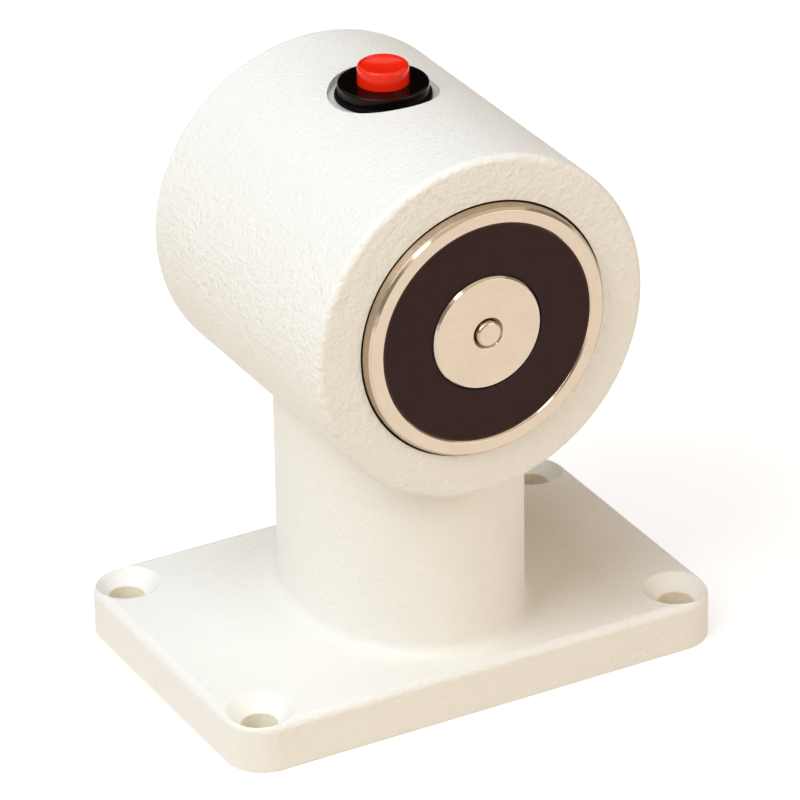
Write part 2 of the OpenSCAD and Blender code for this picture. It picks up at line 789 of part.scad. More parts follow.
module link_lead() {
    color(red_plastic) sweep_wire(smooth_route(link_route, lead_steps), lead_r, lead_sides, [1, 0, 0]);
}

module return_lead() {
    color(rubber) sweep_wire(smooth_route(return_route, lead_steps), lead_r, lead_sides, [1, 0, 0]);
}

housing();
magnet_pot();
pole_core();
coil_bobbin();
coil_winding();
potting_resin();
lead_grommet();
ejector_pin();
ejector_spring();
ejector_bush();
magnet_screw();
magnet_screw_washer();
button_bezel();
button_seal();
button_lock_washer();
button_nut();
button_cap();
button_plunger();
button_spring();
contact_bridge();
switch_base();
switch_terminals();
circuit_board();
board_screws();
terminal_block();
terminal_clamps();
terminal_screws();
suppression_diode();
supply_lead();
link_lead();
return_lead();
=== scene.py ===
"""Looks of the floor-mounted magnetic door holder: casting, magnet, release button, inner parts, studio."""

import json
import math

import bpy
from mathutils import Matrix, Vector


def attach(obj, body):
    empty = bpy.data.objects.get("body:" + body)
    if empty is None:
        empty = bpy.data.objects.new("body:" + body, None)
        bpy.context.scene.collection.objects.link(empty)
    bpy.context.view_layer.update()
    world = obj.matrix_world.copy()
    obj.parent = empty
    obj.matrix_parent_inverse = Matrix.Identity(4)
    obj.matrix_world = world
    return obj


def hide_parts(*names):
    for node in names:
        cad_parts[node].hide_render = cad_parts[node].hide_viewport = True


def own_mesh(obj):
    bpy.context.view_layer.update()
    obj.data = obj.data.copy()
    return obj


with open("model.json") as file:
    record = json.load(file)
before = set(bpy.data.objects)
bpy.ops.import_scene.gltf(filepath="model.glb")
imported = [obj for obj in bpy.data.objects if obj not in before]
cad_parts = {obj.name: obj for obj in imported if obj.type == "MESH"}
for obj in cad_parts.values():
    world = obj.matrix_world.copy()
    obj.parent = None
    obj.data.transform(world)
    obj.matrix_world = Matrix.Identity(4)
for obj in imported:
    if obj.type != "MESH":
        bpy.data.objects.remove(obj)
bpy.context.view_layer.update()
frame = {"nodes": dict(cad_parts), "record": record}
nodes = frame["nodes"]

MM = 0.001
TURN = 2 * math.pi
OUT_AND_ALONG = {"Z": (Vector((1, 0, 0)), Vector((0, 0, 1))), "Y": (Vector((1, 0, 0)), Vector((0, 1, 0)))}

# Sizes in millimetres
PLATE = Vector((103.5, 68.5, 10))
PLATE_CORNER = 8
PLATE_EDGE, PLATE_FOOT_EDGE = 1.7, 0.3
HOLE_X, HOLE_Y = 45, 27.5
HOLE_R, SINK_R = 3.4, 6.3
POST_X, POST_Y = 22, 28.5
POST_TOP = 62.5
POST_WALL = 5
FOOT_R = 2.5
NECK_R, NECK_END_R = 2.5, 1.2
AXIS_Z = 79.5
BARREL_R, BARREL_END = 34, 32.75
BARREL_EDGE = 1.4
BORE_R, CAVITY_R = 25.25, 23.2
LEDGE_Y, CAVITY_END = -8.75, 27.75
ROOF_Z = 44.5
BOSS_X, BOSS_Y, BOSS_R, BOSS_Z = 9.5, -3, 3.5, 34.1
BOSS_HOLE_R, BOSS_HOLE_L = 1.52, 7
PASSAGE_Y, PASSAGE_R, PASSAGE_TOP = 14, 6, 61.3
FACE_Y = -34.75
MAGNET_R, MAGNET_L, POT_FLOOR = 25, 26, 21
RING_IN_R, CORE_R, SPIGOT_R = 21.5, 11.25, 8
RESIN_TOP, RESIN_BACK = 0.5, 4.5
PIN_R, PIN_PROUD, GUIDE_L, CHAMBER_R = 2.5, 0.6, 6, 4.5
GROMMET_DROP, GROMMET_R = 16, 3
SCREW_TIP_Y, SCREW_SEAT_Y, SCREW_HEAD_Y, SCREW_END_Y = -15.25, 25.05, 26.25, 32.25
SCREW_R, SCREW_HEAD_R, SOCKET_R, SOCKET_L = 3, 5, 2.887, 3
SCREW_HOLE_R, COUNTERBORE_R = 3.3, 5.8
SCREW_BOSS_R, SCREW_BOSS_L = 8.8, 4
BUTTON_Y = 3.8
POCKET_R, POCKET_Z = 10.4, 111.6
BUTTON_HOLE_R, NUT_ROOM_R = 6.15, 8.88
NUT_SEAT_Z = 101
CREST_Z = 113.5
BUSH_R, BUSH_END_Z = 6, 96.1
BEZEL_R, BEZEL_SEAT_Z, BEZEL_TOP_Z = 8.55, 112.6, 114.6
SEAL_R = 9.1
CAP_R, CAP_BASE_Z, CAP_TOP_Z = 4.85, 110.7, 118.1
SEAT, SLIDE = 0.02, 0.08

# How far a cutting tool runs past the surface that it cuts, how wide it is past a rounded lip,
# how near a surface a point counts as on it, and how near each other points are merged
PAST, BRIM, NEAR, WELD = 1, 3, 0.01, 0.001

# The photograph's camera
VIEW_AZIMUTH, VIEW_HEIGHT, VIEW_ROLL = -28.625, 27.79, -0.816
VIEW_FROM = Vector((-445.833, -817.772, 540.915))
FOCAL_PX, PICTURE_PX, SENSOR = 5585.163, 800, 36


# Modelling by hand

def clear_selection():
    if bpy.context.object and bpy.context.object.mode != "OBJECT":
        bpy.ops.object.mode_set(mode="OBJECT")
    bpy.ops.object.select_all(action="DESELECT")


def take(part):
    """Make a part the one that operators act on."""
    clear_selection()
    part.select_set(True)
    bpy.context.view_layer.objects.active = part


def pick(part, kind, test):
    """Go to edit mode with those vertices, edges or polygons selected whose points pass a test."""
    take(part)
    bpy.ops.object.mode_set(mode="EDIT")
    bpy.ops.mesh.select_mode(type={"vertices": "VERT", "edges": "EDGE", "polygons": "FACE"}[kind])
    bpy.ops.mesh.select_all(action="DESELECT")
    bpy.ops.object.mode_set(mode="OBJECT")
    mesh = part.data
    for item in getattr(mesh, kind):
        points = [item.co] if kind == "vertices" else [mesh.vertices[i].co for i in item.vertices]
        item.select = test([p / MM for p in points])
    bpy.ops.object.mode_set(mode="EDIT")


def rounded(corners, pieces=5):
    """Points of a section whose corners are (radius from the axis, height, rounding)."""
    points = []
    count = len(corners)
    for i, corner in enumerate(corners):
        here = Vector(corner[:2])
        bend = corner[2] if len(corner) > 2 else 0
        if not bend:
            points.append(here)
            continue
        back = (Vector(corners[i - 1][:2]) - here).normalized()
        on = (Vector(corners[(i + 1) % count][:2]) - here).normalized()
        half = back.angle(on) / 2
        middle = here + (back + on).normalized() * (bend / math.sin(half))
        start = here + back * (bend / math.tan(half)) - middle
        end = here + on * (bend / math.tan(half)) - middle
        sweep = start.angle_signed(end)
        for step in range(pieces + 1):
            turned = start.copy()
            turned.rotate(Matrix.Rotation(-sweep * step / pieces, 2))
            points.append(middle + turned)
    return points


def turn_section(name, corners, centre, axis="Z", steps=96, pieces=5):
    """Turn a half section of (radius, height, rounding) corners into a closed part, as on a lathe."""
    out, along = OUT_AND_ALONG[axis]
    place = [(Vector(centre) + out * r + along * h) * MM for r, h in rounded(corners, pieces)]
    clear_selection()
    bpy.ops.mesh.primitive_plane_add(size=MM)
    part = bpy.context.object
    part.name = name
    bpy.ops.object.mode_set(mode="EDIT")
    bpy.ops.mesh.select_mode(type="VERT")
    bpy.ops.mesh.select_all(action="SELECT")
    bpy.ops.mesh.merge(type="CENTER")
    bpy.ops.transform.translate(value=place[0])
    ring = corners[0][0] > 0
    for here, there in zip(place, place[1:] + place[:1] if ring else place[1:]):
        bpy.ops.mesh.extrude_region_move(TRANSFORM_OT_translate={"value": there - here})
    bpy.ops.mesh.select_all(action="SELECT")
    bpy.ops.mesh.spin(steps=steps, angle=TURN, center=Vector(centre) * MM, axis=along)
    bpy.ops.mesh.select_all(action="SELECT")
    bpy.ops.mesh.remove_doubles(threshold=WELD * MM)
    bpy.ops.mesh.normals_make_consistent(inside=False)
    bpy.ops.object.mode_set(mode="OBJECT")
    return part


def cylinder(radius, low, high, at, axis="Z", steps=64):
    return turn_section("rod", [(0, low), (radius, low), (radius, high), (0, high)], at, axis, steps)


def combine(part, tool, operation):
    """Join a tool to a part, or cut it out of the part."""
    take(part)
    bpy.ops.object.modifier_add(type="BOOLEAN")
    change = part.modifiers[-1]
    change.operation = operation
    change.solver = "EXACT"
    change.object = tool
    bpy.ops.object.modifier_apply(modifier=change.name)
    bpy.data.objects.remove(tool)


def join(part, tool):
    combine(part, tool, "UNION")


def cut(part, tool):
    combine(part, tool, "DIFFERENCE")


def copied(part, shift):
    take(part)
    bpy.ops.object.duplicate()
    copy = bpy.context.object
    bpy.ops.object.mode_set(mode="EDIT")
    bpy.ops.mesh.select_all(action="SELECT")
    bpy.ops.transform.translate(value=Vector(shift) * MM)
    bpy.ops.object.mode_set(mode="OBJECT")
    return copy


def smooth(part, degrees=35):
    take(part)
    bpy.ops.object.shade_smooth_by_angle(angle=math.radians(degrees))
    bpy.ops.object.modifier_add(type="WEIGHTED_NORMAL")
    part.modifiers[-1].keep_sharp = True
    bpy.ops.object.modifier_apply(modifier=part.modifiers[-1].name)


def finish_piece(part, body, slot, finish, *replaced):
    smooth(part)
    part.data.materials.clear()
    part.data.materials.append(finish)
    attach(part, body)
    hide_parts(*replaced)
    return part


# Finishes

class Value:
    """A shader socket that takes part in sums."""

    def __init__(self, shading, socket):
        self.shading = shading
        self.socket = socket

    def sum(self, operation, first, second):
        return self.shading.node("ShaderNodeMath", {"operation": operation}, {0: first, 1: second})

    def __add__(self, other):
        return self.sum("ADD", self, other)

    __radd__ = __add__

    def __mul__(self, other):
        return self.sum("MULTIPLY", self, other)

    __rmul__ = __mul__

    def __sub__(self, other):
        return self.sum("SUBTRACT", self, other)

    def __rsub__(self, other):
        return self.sum("SUBTRACT", other, self)


class Shading:
    """The nodes of a finish or of the backdrop."""

    def __init__(self, tree):
        self.tree = tree

    def node(self, kind, settings=None, sockets=None, output=0):
        made = self.tree.nodes.new(kind)
        for name, value in (settings or {}).items():
            setattr(made, name, value)
        for name, value in (sockets or {}).items():
            if isinstance(value, Value):
                self.tree.links.new(value.socket, made.inputs[name])
            else:
                made.inputs[name].default_value = value
        return Value(self, made.outputs[output])

    def step(self, value, low, high, to_low=0.0, to_high=1.0):
        """Soft step from one value to another, as a value goes from low to high."""
        return self.node("ShaderNodeMapRange", {"interpolation_type": "SMOOTHSTEP"}, {
            0: value, 1: low, 2: high, 3: to_low, 4: to_high})

    def mix(self, share, first, second):
        pair = [c if isinstance(c, Value) else (*c, 1) for c in (first, second)]
        sockets = {0: share, 6: pair[0], 7: pair[1]}
        return self.node("ShaderNodeMix", {"data_type": "RGBA"}, sockets, output=2)

    def part_of(self, vector, axis):
        return self.node("ShaderNodeSeparateXYZ", None, {0: vector}, output="XYZ".index(axis))

    def seen(self):
        """One where the surface is seen by the camera, in a reflection or through glass."""
        rays = [self.node("ShaderNodeLightPath", output=name) for name in (
            "Is Camera Ray", "Is Glossy Ray", "Is Transmission Ray")]
        return self.step(rays[0] + rays[1] + rays[2], 0, 1)


class Finish(Shading):
    """A procedural material on a piece's own coordinates."""

    def __init__(self, name, **constants):
        self.material = bpy.data.materials.new(name)
        self.material.use_nodes = True
        super().__init__(self.material.node_tree)
        self.shader = self.tree.nodes["Principled BSDF"]
        for socket, value in constants.items():
            self.shader.inputs[socket.replace("_", " ")].default_value = value
        self.place = self.node("ShaderNodeTexCoord", output="Object")

    def feed(self, socket, value):
        self.tree.links.new(value.socket, self.shader.inputs[socket])

    def scaled(self, factors):
        return self.node("ShaderNodeVectorMath", {"operation": "MULTIPLY"}, {0: self.place, 1: factors})

    def noise(self, size_mm, detail=2.0, roughness=0.5, place=None, distortion=0.0):
        """Soft random values between 0 and 1, with blots of about a size."""
        return self.node("ShaderNodeTexNoise", None, {
            "Vector": place or self.place, "Scale": 1 / (size_mm * MM), "Detail": detail,
            "Roughness": roughness, "Distortion": distortion})

    def cells(self, size_mm, feature="SMOOTH_F1"):
        """Distance from the middle of the nearest cell, in cell sizes."""
        return self.node("ShaderNodeTexVoronoi", {"feature": feature}, {
            "Vector": self.place, "Scale": 1 / (size_mm * MM)})

    def bump(self, height, depth_mm):
        sockets = {"Distance": depth_mm * MM, "Height": height}
        self.feed("Normal", self.node("ShaderNodeBump", None, sockets))

    def radius_from(self, centre, across):
        """Distance from an axis, in millimetres."""
        away = self.node("ShaderNodeVectorMath", {"operation": "SUBTRACT"}, {
            0: self.place, 1: Vector(centre) * MM})
        flat = self.node("ShaderNodeVectorMath", {"operation": "MULTIPLY"}, {0: away, 1: across})
        length = self.node("ShaderNodeVectorMath", {"operation": "LENGTH"}, {0: flat}, output="Value")
        return length * (1 / MM)

    def wave(self, distance, pitch):
        return self.node("ShaderNodeMath", {"operation": "SINE"}, {0: distance * (TURN / pitch)})


def powder_coat(name, light, deep, dip_shade):
    """Leather relief, strongest on the barrel's left flank, then its front, and weakest on the plate."""
    plate_end, post_start = 11, 17
    flank_in, flank_low, flank_high = -16, 45, 60
    f = Finish(name, IOR=1.45)
    across, along, height = (f.part_of(f.place, axis) for axis in "XYZ")
    hide = f.noise(0.8, detail=1, roughness=0.4, distortion=0.15)
    fine = f.noise(0.5, detail=1, roughness=0.4)
    flow = f.noise(1.8, detail=1, roughness=0.4)
    raised = f.step(height, plate_end * MM, post_start * MM, 0.6, 1.0)
    front = f.step(along, -BARREL_END * MM, (BARREL_EDGE - BARREL_END) * MM, 1, 0)
    left = f.step(across, -BARREL_R * MM, flank_in * MM, 1, 0)
    high = f.step(height, flank_low * MM, flank_high * MM)
    flank = left * high * (1 - front)
    relief = hide - 0.5 + (fine - 0.5) * 0.3 + (flow - 0.5) * (front * 1.5 + flank * 0.9)
    f.bump(relief * (raised + front * 0.2 + flank * 0.75), depth_mm=0.2)
    tone = f.mix(f.noise(18, detail=3), light, deep)
    # painted shade: the relief's dips get the darker dip colour, as if shaded
    dip_shaded = f.mix(f.step(hide, 0.25, 0.45), dip_shade, tone)
    speck = f.step(f.cells(11, "F1"), 0.008, 0.016, 1, 0) * f.step(f.noise(30), 0.5, 0.6)
    f.feed("Base Color", f.mix(speck * 0.5, dip_shaded, (0.40, 0.33, 0.27)))
    f.feed("Roughness", f.step(fine, 0.3, 0.7, 0.42, 0.52))
    return f.material


def machined_alloy():
    """Bare light alloy with the marks of its cutter."""
    f = Finish("machined_alloy", Metallic=0.4)
    streak = f.noise(0.9, detail=2, place=f.scaled((1, 1, 0.08)))
    turned = f.wave(f.part_of(f.place, "Z"), pitch=0.3 * MM)
    f.bump(turned * 0.2 + streak, depth_mm=0.02)
    f.feed("Base Color", f.mix(f.step(streak, 0.3, 0.7), (0.92, 0.91, 0.89), (0.74, 0.725, 0.71)))
    f.feed("Roughness", f.step(streak, 0.3, 0.7, 0.34, 0.5))
    return f.material


def nickel(name, bright, dull, low, high):
    """Plated steel with the fine rings of its turning."""
    f = Finish(name, Metallic=1.0)
    turned = f.wave(f.radius_from((0, 0, AXIS_Z), (1, 0, 1)) + f.noise(1.5) * 0.2, pitch=0.22)
    cloud = f.noise(5, detail=4, roughness=0.6)
    f.bump(turned * 0.5 + f.noise(0.25) * 0.8, depth_mm=0.003)
    f.feed("Base Color", f.mix(cloud, bright, dull))
    f.feed("Roughness", f.step(cloud + turned * 0.08, 0.2, 0.8, low, high))
    return f.material


def potting():
    """Dark resin, black next to the core as painted shade, and brown where it is thin at the ring."""
    black_end, body_start, thin_start, ring_start = 0.12, 0.45, 0.4, 0.05
    f = Finish("dark_resin", IOR=1.5, Specular_IOR_Level=0.14)
    cloud = f.noise(3.2, detail=4, roughness=0.6)
    radius = f.radius_from((0, 0, AXIS_Z), (1, 0, 1)) + (f.noise(2, detail=2) - 0.5) * 0.2
    f.bump(cloud + f.noise(0.5) * 0.15, depth_mm=0.03)
    body = f.mix(cloud, (0.024, 0.0075, 0.0068), (0.033, 0.012, 0.0105))
    off_core = f.step(radius, CORE_R + black_end, CORE_R + body_start)
    at_ring = f.step(radius, RING_IN_R - thin_start, RING_IN_R - ring_start)
    # painted shade: black next to the core, where the resin meets it
    shaded_at_core = f.mix(off_core, (0.003, 0.0015, 0.0015), body)
    f.feed("Base Color", f.mix(at_ring, shaded_at_core, (0.075, 0.025, 0.012)))
    f.feed("Roughness", f.step(f.noise(1.1, detail=3), 0.3, 0.7, 0.42, 0.55))
    return f.material


def cap_red():
    """Glossy moulded plastic."""
    f = Finish("red_gloss_plastic", Specular_IOR_Level=0.28)
    tint = f.mix(f.noise(2, detail=3), (0.93, 0.024, 0.005), (0.90, 0.020, 0.004))
    f.bump(f.noise(0.4, detail=2), depth_mm=0.002)
    f.feed("Base Color", tint)
    f.feed("Roughness", f.step(f.noise(1.4, detail=3, roughness=0.6), 0.3, 0.7, 0.10, 0.16))
    return f.material


def plastic(name, colour, deeper, low, high, grain_mm=0.3, depth_mm=0.004, **constants):
    """Moulded skin whose roughness wanders between two values."""
    f = Finish(name, **constants)
    f.bump(f.noise(grain_mm, detail=2), depth_mm)
    f.feed("Base Color", f.mix(f.noise(4, detail=3), colour, deeper))
    f.feed("Roughness", f.step(f.noise(1.4, detail=3, roughness=0.6), 0.3, 0.7, low, high))
    return f.material


def plated(name, colour, worn, low, high):
    """Plated or bare metal, clouded and finely scratched."""
    f = Finish(name, Metallic=1.0)
    streak = f.noise(0.35, detail=3, roughness=0.6)
    f.bump(streak, depth_mm=0.006)
    f.feed("Base Color", f.mix(f.noise(2.5, detail=4, roughness=0.6), colour, worn))
    f.feed("Roughness", f.step(streak, 0.3, 0.7, low, high))
    return f.material


def winding():
    """Varnished copper wire, turn beside turn."""
    f = Finish("copper_wire", Metallic=0.85, Coat_Weight=0.6, Coat_Roughness=0.15)
    turns = f.wave(f.part_of(f.place, "Y"), pitch=0.5 * MM)
    f.bump(turns, depth_mm=0.1)
    # painted shade: the colour darkens into the grooves between the turns
    f.feed("Base Color", f.mix(f.step(turns, -1, 1), (0.30, 0.11, 0.04), (0.66, 0.30, 0.12)))
    f.feed("Roughness", f.step(f.noise(0.8), 0.3, 0.7, 0.24, 0.38))
    return f.material


def board_mask():
    """Green solder mask over tracks and weave."""
    f = Finish("green_board", IOR=1.5)
    track = f.wave(f.part_of(f.place, "X"), pitch=5.08 * MM)
    copper = f.step(track, 0.55, 0.7)
    weave = f.noise(0.5, detail=1)
    f.bump(copper * 0.7 + weave * 0.2, depth_mm=0.04)
    f.feed("Base Color", f.mix(copper, (0.035, 0.17, 0.06), (0.06, 0.27, 0.09)))
    f.feed("Roughness", f.step(weave, 0.3, 0.7, 0.28, 0.42))
    return f.material


# Casting

def block(middle, size):
    """Square block, with its middle and size in metres."""
    clear_selection()
    bpy.ops.mesh.primitive_cube_add(size=1, location=middle, scale=size)
    bpy.ops.object.transform_apply(location=True, rotation=True, scale=True)
    return bpy.context.object


def bevel(width, segments):
    bpy.ops.mesh.bevel(offset=width * MM, segments=segments, affect="EDGES", clamp_overlap=False)


def base_plate():
    part = block((0, 0, PLATE.z / 2 * MM), PLATE * MM)
    part.name = "casting"
    pick(part, "edges", lambda p: abs(p[0].z - p[1].z) > NEAR)
    bevel(PLATE_CORNER, segments=14)
    pick(part, "edges", lambda p: min(p[0].z, p[1].z) > PLATE.z - NEAR)
    bevel(PLATE_EDGE, segments=6)
    pick(part, "edges", lambda p: max(p[0].z, p[1].z) < NEAR)
    bevel(PLATE_FOOT_EDGE, segments=2)
    bpy.ops.object.mode_set(mode="OBJECT")
    return part


def post(steps=144, arc=8):
    """Oval post that flares into the plate at its foot and into the barrel at its neck."""
    brim, sunk, skim = 0.6, 1, 0.03
    run_on, buried, top_share = 0.3, 2, 0.6
    points = []
    for i in range(steps):
        angle = TURN * i / steps
        foot = Vector((POST_X * math.cos(angle), POST_Y * math.sin(angle), 0))
        out = Vector((math.cos(angle) / POST_X, math.sin(angle) / POST_Y, 0)).normalized()
        column = [foot + out * (FOOT_R + brim) + Vector((0, 0, PLATE.z - sunk)),
                  foot + out * (FOOT_R + brim) + Vector((0, 0, PLATE.z - skim))]
        for step in range(arc + 1):
            turn = math.pi / 2 * step / arc
            column.append(foot + out * FOOT_R * (1 - math.sin(turn))
                          + Vector((0, 0, PLATE.z + FOOT_R * (1 - math.cos(turn)))))
        neck = NECK_END_R + (NECK_R - NECK_END_R) * math.cos(angle) ** 2
        ball = foot + out * neck
        ball.z = AXIS_Z - math.sqrt((BARREL_R + neck) ** 2 - ball.x ** 2)
        from_post = -out
        to_axis = (Vector((0, ball.y, AXIS_Z)) - ball).normalized()
        sweep = from_post.angle(to_axis)
        for step in range(arc + 1):
            share = step / arc
            direction = math.sin((1 - share) * sweep) * from_post + math.sin(share * sweep) * to_axis
            column.append(ball + direction * (neck / math.sin(sweep)))
        leave = (column[-1] - column[-2]).normalized()
        column.append(column[-1] + leave * run_on + to_axis * skim)
        column.append(column[-1] + to_axis * buried)
        column.append(foot * top_share + Vector((0, 0, POST_TOP)))
        points.extend(column)
    rows = len(points) // steps
    faces = []
    for i in range(steps):
        here, there = i * rows, (i + 1) % steps * rows
        faces.extend((here + k, there + k, there + k + 1, here + k + 1) for k in range(rows - 1))
    faces.append(tuple(i * rows for i in reversed(range(steps))))
    faces.append(tuple(i * rows + rows - 1 for i in range(steps)))
    mesh = bpy.data.meshes.new("post")
    mesh.from_pydata([p * MM for p in points], [], faces)
    part = bpy.data.objects.new("post", mesh)
    bpy.context.scene.collection.objects.link(part)
    return part


def barrel():
    section = [(0, -BARREL_END), (BARREL_R, -BARREL_END, BARREL_EDGE), (BARREL_R, BARREL_END, BARREL_EDGE),
               (0, BARREL_END)]
    return turn_section("barrel", section, (0, 0, AXIS_Z), "Y", steps=144, pieces=6)


def fixing_hole():
    """Tool for the floor hole at one corner, with its countersink and rounded lip."""
    lip, throat = 0.7, 0.4
    section = [(0, -PAST), (HOLE_R, -PAST), (HOLE_R, PLATE.z - SINK_R + HOLE_R, throat),
               (SINK_R, PLATE.z, lip), (SINK_R + BRIM, PLATE.z), (SINK_R + BRIM, PLATE.z + PAST),
               (0, PLATE.z + PAST)]
    return turn_section("fixing_hole", section, (-HOLE_X, -HOLE_Y, 0), "Z", steps=64)


def magnet_bore():
    """Stepped bore with the wiring room behind it, flat above the nut and round the screw's boss."""
    lip = 0.15
    wide, far, above = 30, 40, 110
    section = [(0, -BARREL_END - PAST), (BORE_R + BRIM, -BARREL_END - PAST), (BORE_R + BRIM, -BARREL_END),
               (BORE_R, -BARREL_END, lip), (BORE_R, LEDGE_Y), (CAVITY_R, LEDGE_Y), (CAVITY_R, CAVITY_END),
               (0, CAVITY_END)]
    part = turn_section("magnet_bore", section, (0, 0, AXIS_Z), "Y", steps=144)
    low = Vector((-wide, LEDGE_Y, NUT_SEAT_Z))
    high = Vector((wide, far, above))
    cut(part, block((low + high) / 2 * MM, (high - low) * MM))
    cut(part, cylinder(SCREW_BOSS_R, SCREW_SEAT_Y - SCREW_BOSS_L, far, (0, 0, AXIS_Z), "Y"))
    return part


def post_hollow():
    """Oval room in the post, with the two bosses that carry the board left standing."""
    inner_x, inner_y = POST_X - POST_WALL, POST_Y - POST_WALL
    part = cylinder(inner_x, -PAST, ROOF_Z, (0, 0, 0), "Z", steps=96)
    take(part)
    bpy.ops.object.mode_set(mode="EDIT")
    bpy.ops.mesh.select_all(action="SELECT")
    bpy.ops.transform.resize(value=(1, inner_y / inner_x, 1), center_override=(0, 0, 0))
    bpy.ops.object.mode_set(mode="OBJECT")
    for side in (-1, 1):
        cut(part, cylinder(BOSS_R, BOSS_Z, ROOF_Z + PAST, (side * BOSS_X, BOSS_Y, 0)))
    return part


def screw_hole():
    """Hole and counterbore for the magnet's screw, in the barrel's rear wall."""
    start, brim, lip = 15, 8, 0.4
    section = [(0, start), (SCREW_HOLE_R, start), (SCREW_HOLE_R, SCREW_SEAT_Y),
               (COUNTERBORE_R, SCREW_SEAT_Y), (COUNTERBORE_R, BARREL_END, lip), (brim, BARREL_END),
               (brim, BARREL_END + PAST), (0, BARREL_END + PAST)]
    return turn_section("rear", section, (0, 0, AXIS_Z), "Y", steps=64)


def button_hole():
    """Room of the nut, hole of the bush and milled pocket in the barrel's crest."""
    start, above, corner = 90, CREST_Z + 2, 0.15
    section = [(0, start), (NUT_ROOM_R, start), (NUT_ROOM_R, NUT_SEAT_Z), (BUTTON_HOLE_R, NUT_SEAT_Z),
               (BUTTON_HOLE_R, POCKET_Z), (POCKET_R, POCKET_Z, corner), (POCKET_R, above), (0, above)]
    return turn_section("top", section, (0, BUTTON_Y, 0), "Z", steps=96)


def casting(coat, hole_coat_painted_light, bare_metal, bore_shade_metal):
    """One casting; the floor holes' walls take a warmer coat as painted light, the bore a dark metal as
    painted shade, and the milled pocket a finish of its own.
    """
    part = base_plate()
    join(part, post())
    join(part, barrel())
    hole = fixing_hole()
    for shift in ((0, 0, 0), (2 * HOLE_X, 0, 0), (0, 2 * HOLE_Y, 0), (2 * HOLE_X, 2 * HOLE_Y, 0)):
        cut(part, copied(hole, shift))
    bpy.data.objects.remove(hole)
    cut(part, magnet_bore())
    cut(part, screw_hole())
    cut(part, button_hole())
    cut(part, post_hollow())
    cut(part, cylinder(PASSAGE_R, ROOF_Z - PAST, PASSAGE_TOP, (0, PASSAGE_Y, 0)))
    for side in (-1, 1):
        at = (side * BOSS_X, BOSS_Y, 0)
        cut(part, cylinder(BOSS_HOLE_R, BOSS_Z - PAST, BOSS_Z + BOSS_HOLE_L, at, "Z", steps=32))
    finish_piece(part, "holder", "white_powder_coat", coat, "housing")
    for extra in (hole_coat_painted_light, bare_metal, bore_shade_metal):
        part.data.materials.append(extra)
    hole_slot, pocket_slot, bore_slot = 1, 2, 3
    margin, hair = 0.1, 0.02
    button = Vector((0, BUTTON_Y))
    axis = Vector((0, AXIS_Z))
    for face in part.data.polygons:
        at = face.center / MM
        to_hole = Vector((abs(at.x) - HOLE_X, abs(at.y) - HOLE_Y)).length
        if at.z < PLATE.z and to_hole < HOLE_R + margin:
            # the holes' walls take the warmer coat, as painted light
            face.material_index = hole_slot
        elif at.z > POCKET_Z - margin and (at.xy - button).length < POCKET_R + hair:
            face.material_index = pocket_slot
        elif at.y < LEDGE_Y and (at.xz - axis).length < BORE_R + hair:
            # the bore's wall takes the dark metal, as painted shade
            face.material_index = bore_slot


# Magnet

def dress_rim(part, finish, start):
    """Give a turned piece its own finish behind a depth below the pole face; the finishes given here are
    darker copies of the nickel, as painted shade.
    """
    part.data.materials.append(finish)
    index = len(part.data.materials) - 1
    for face in part.data.polygons:
        if face.center.y / MM - FACE_Y > start:
            face.material_index = index


